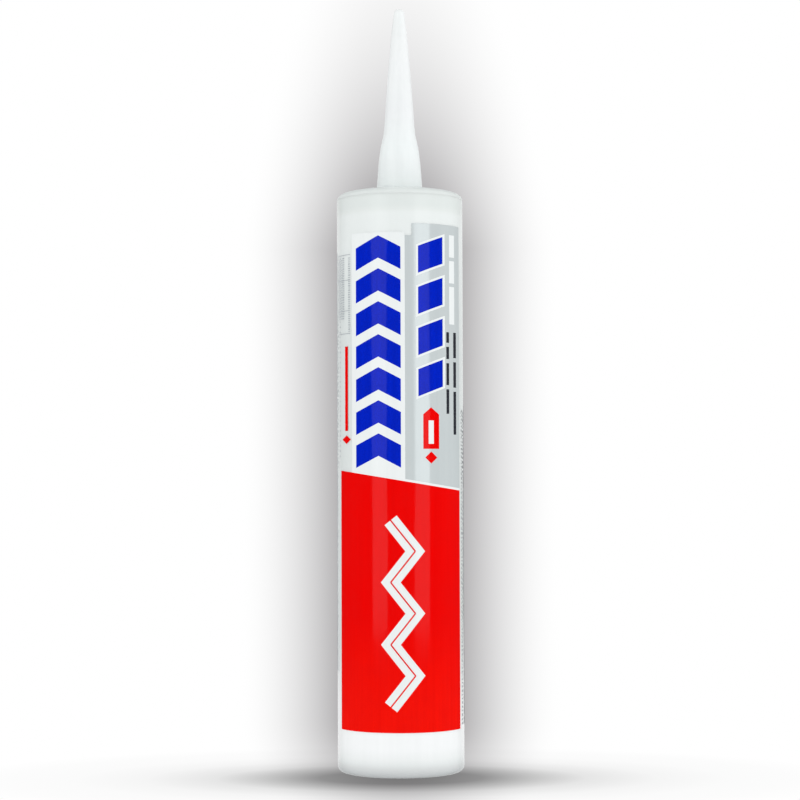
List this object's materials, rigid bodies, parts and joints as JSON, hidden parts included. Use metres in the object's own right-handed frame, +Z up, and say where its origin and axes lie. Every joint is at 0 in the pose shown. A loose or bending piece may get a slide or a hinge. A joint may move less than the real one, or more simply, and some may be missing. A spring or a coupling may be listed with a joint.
{
  "type": "construction adhesive cartridge",
  "caption": "Round plastic tube of adhesive for a caulking gun, with a moulded head, a screw-on cone nozzle and a sliding piston behind the contents.",
  "frame": {"origin": "centre of the rear rim's flat, on the barrel's axis, where the cartridge stands", "axes": "+Z up the barrel to the nozzle's tip, -Y towards the printed front, +X to the right of the front"},
  "size_m": [0.05, 0.0501, 0.303],
  "materials": {
    "barrel_plastic": "satin",
    "head_plastic": "satin",
    "nozzle_plastic": "satin",
    "piston_plastic": "satin",
    "adhesive": "satin",
    "foil": "satin",
    "red_ink": "gloss",
    "silver_ink": "gloss",
    "white_ink": "gloss",
    "blue_ink": "gloss",
    "black_ink": "gloss"
  },
  "bodies": {
    "cartridge": {"barrel_tube": "barrel_plastic", "head": "head_plastic", "foil_seal": "foil", "adhesive": "adhesive", "print_red": "red_ink", "print_silver": "silver_ink", "print_white": "white_ink", "print_blue": "blue_ink", "print_black": "black_ink"},
    "plunger": {"piston": "piston_plastic"},
    "tip": {"nozzle": "nozzle_plastic"}
  },
  "joints": [
    {"name": "piston_slide", "type": "slide", "parent": "cartridge", "child": "plunger", "axis": [0, 0, 1], "range_m": [0, 0.1703], "deforming": ["adhesive"]},
    {"name": "nozzle_lift", "type": "slide", "parent": "cartridge", "child": "tip", "axis": [0, 0, 1], "range_m": [0, 0.03]}
  ]
}
